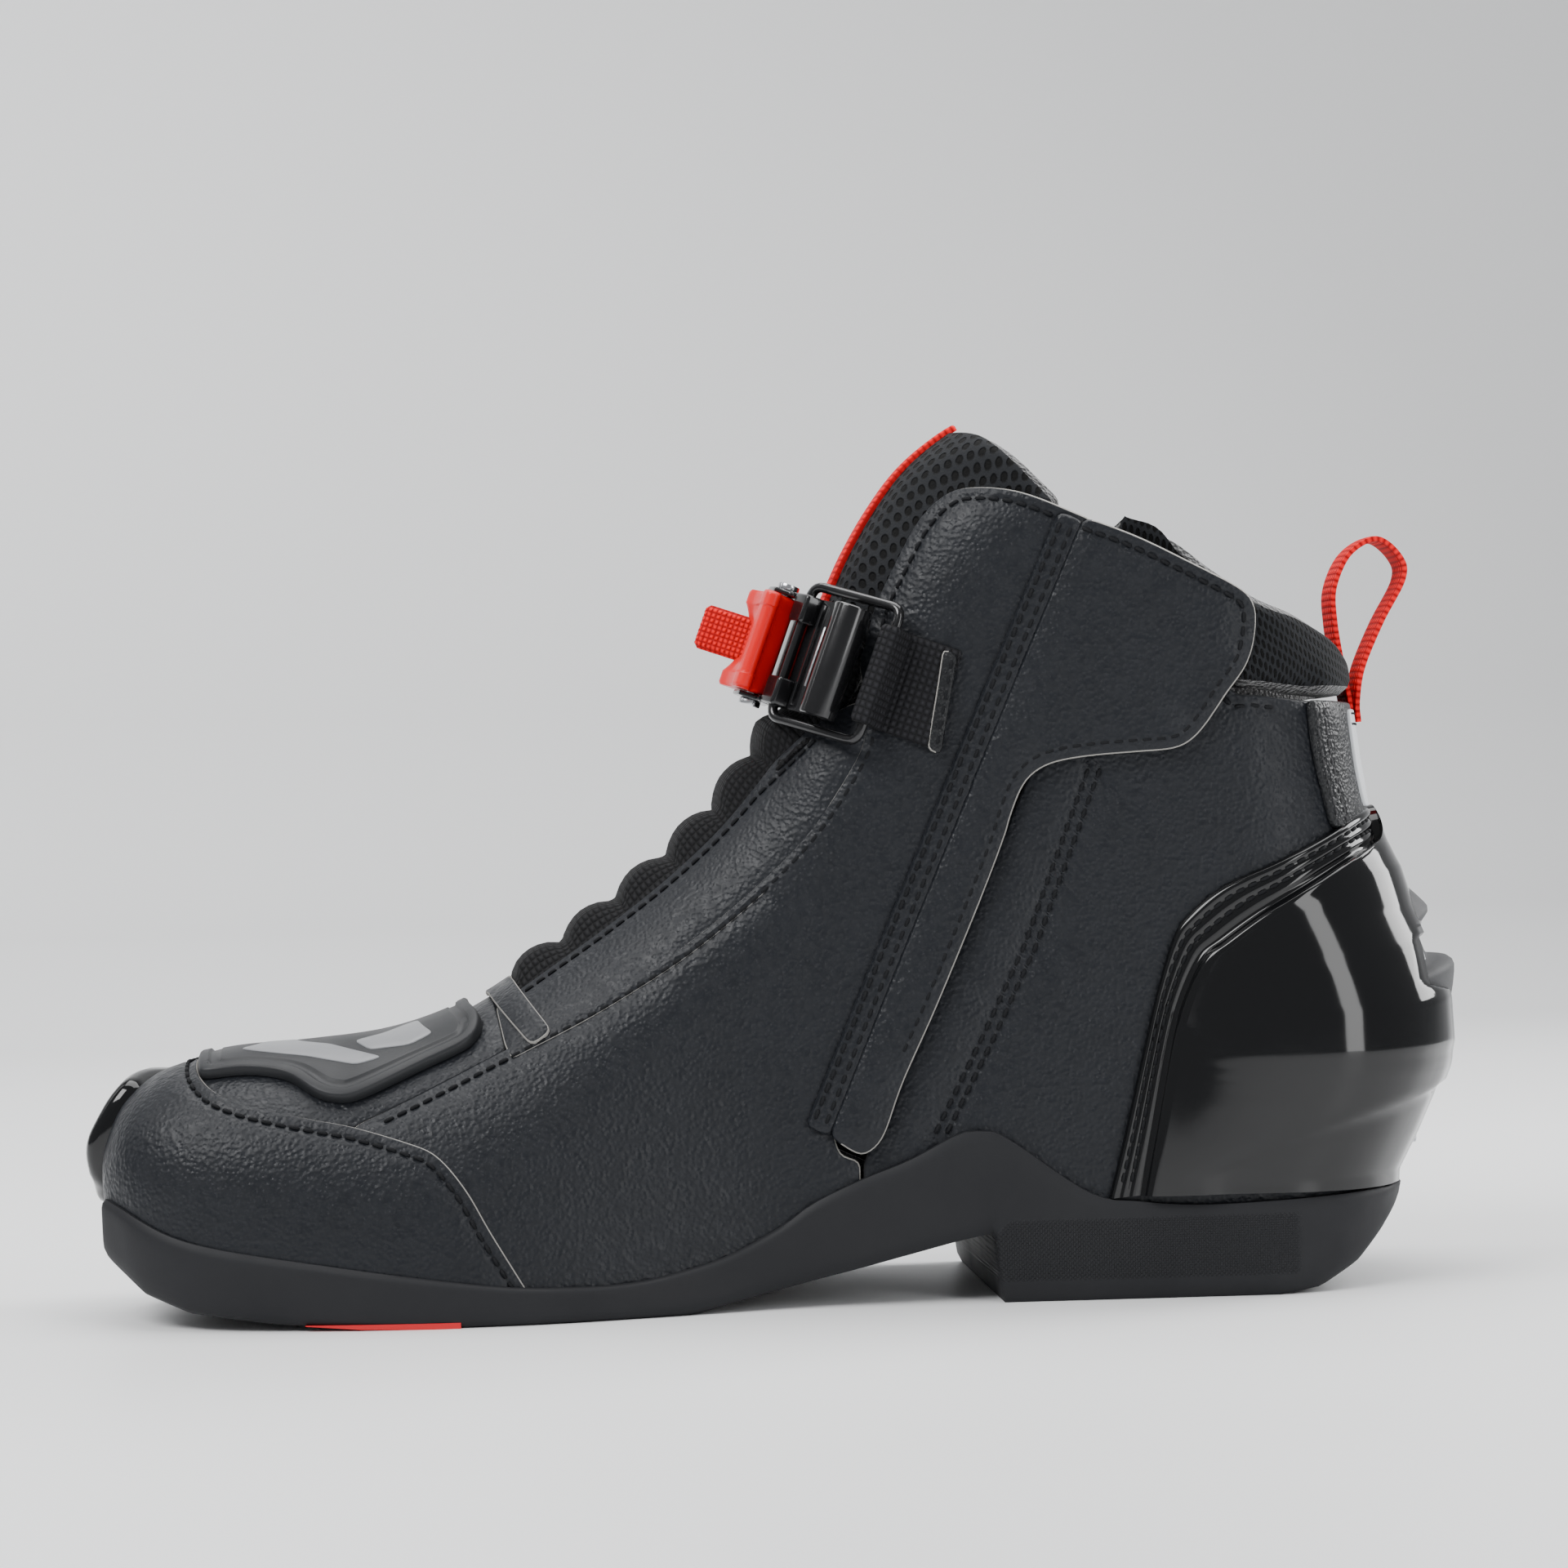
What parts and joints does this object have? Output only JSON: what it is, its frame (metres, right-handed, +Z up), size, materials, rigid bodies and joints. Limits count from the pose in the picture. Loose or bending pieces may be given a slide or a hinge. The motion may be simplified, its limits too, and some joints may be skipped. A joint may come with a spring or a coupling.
{
  "type": "motorcycle riding boot",
  "caption": "Short riding boot with a zip under a side flap, an instep buckle strap, a hard heel cup, a toe slider and a pull loop.",
  "frame": {"origin": "on the floor, under the middle of the heel block's flat face", "axes": "+X from the toe towards the heel, +Y from the inner side to the outer side of this right boot, +Z up"},
  "size_m": [0.3142, 0.1019, 0.1965],
  "materials": {
    "leather": "satin, fine grain",
    "smooth_synthetic": "smooth satin",
    "elastic": "woven elastic",
    "spacer_mesh": "knitted spacer mesh",
    "lining_cloth": "brushed knit",
    "foam_sock": "cloth over foam",
    "fibre_board": "fibre board",
    "outsole_rubber": "matte",
    "red_rubber": "matte",
    "gloss_tpu": "high gloss",
    "matte_tpu": "matte, fine texture",
    "red_plastic": "satin",
    "reflective": "reflective film",
    "black_webbing": "ribbed webbing",
    "red_webbing": "ribbed webbing",
    "hook_and_loop": "hook and loop",
    "black_metal": "semi-gloss",
    "zip_metal": "satin",
    "steel": "polished"
  },
  "bodies": {
    "upper": {"outsole": "outsole_rubber", "tread_insert": "red_rubber", "shank_plate": "steel", "insole_board": "fibre_board", "footbed": "foam_sock", "toe_cap": "leather", "vamp": "leather", "facing_medial": "leather", "facing_lateral": "leather", "quarter_medial_front": "leather", "quarter_medial_rear": "leather", "quarter_lateral_front": "leather", "quarter_lateral_rear": "leather", "stretch_panel": "elastic", "tongue": "spacer_mesh", "collar_pad": "spacer_mesh", "lining_medial": "lining_cloth", "lining_lateral": "lining_cloth", "toe_puff": "fibre_board", "heel_stiffener": "fibre_board", "ankle_pad_medial": "foam_sock", "ankle_pad_lateral": "foam_sock", "heel_cup": "gloss_tpu", "heel_fins": "matte_tpu", "heel_reflector": "reflective", "heel_screw": "steel", "backstay": "smooth_synthetic", "back_reflector": "reflective", "pull_loop": "red_webbing", "toe_slider": "gloss_tpu", "toe_slider_screw_1": "steel", "toe_slider_screw_2": "steel", "shift_pad": "matte_tpu", "shift_pad_insert": "reflective", "flap_strip": "leather", "loop_patch": "hook_and_loop", "zip_tape_front": "black_webbing", "zip_tape_rear": "black_webbing", "zip_teeth_front": "zip_metal", "zip_teeth_rear": "zip_metal", "strap_webbing": "black_webbing", "strap_slot_cover": "leather", "ladder_anchor": "black_metal", "anchor_screw": "steel"},
    "flap": {"closure_flap": "leather", "hook_patch": "hook_and_loop"},
    "zip_pull": {"zip_slider": "zip_metal", "zip_puller": "zip_metal"},
    "link": {"wire_link": "black_metal"},
    "buckle": {"buckle_base": "black_metal", "lever_pin": "steel", "lever_spring": "steel"},
    "lever": {"buckle_lever": "red_plastic", "pull_tab": "red_webbing"},
    "ladder": {"ladder_strap": "matte_tpu"}
  },
  "joints": [
    {"name": "flap_hinge", "type": "hinge", "parent": "upper", "child": "flap", "pos_m": [-0.068, -0.0379, 0.0374], "axis": [-0.4033, 0.0081, -0.915], "range_deg": [0, 100]},
    {"name": "zip_slide", "type": "slide", "parent": "upper", "child": "zip_pull", "axis": [-0.4171, 0.0146, -0.9088], "range_m": [0, 0.1]},
    {"name": "link_swing", "type": "hinge", "parent": "upper", "child": "link", "pos_m": [-0.05498, -0.03514, 0.13918], "axis": [0.3469, 0, 0.9379], "range_deg": [0, 75]},
    {"name": "buckle_tilt", "type": "hinge", "parent": "link", "child": "buckle", "pos_m": [-0.07257, -0.01611, 0.14569], "axis": [0.3469, 0, 0.9379], "range_deg": [0, 3]},
    {"name": "lever_release", "type": "hinge", "parent": "buckle", "child": "lever", "pos_m": [-0.07705, -0.00707, 0.14735], "axis": [0.3469, 0, 0.9379], "range_deg": [0, 20], "stiffness_Nm_per_rad": 0.02},
    {"name": "ladder_slide", "type": "hinge", "parent": "buckle", "child": "ladder", "pos_m": [-0.03517, 0, 0.13186], "axis": [0.3469, 0, 0.9379], "range_deg": [-8, 8]}
  ]
}
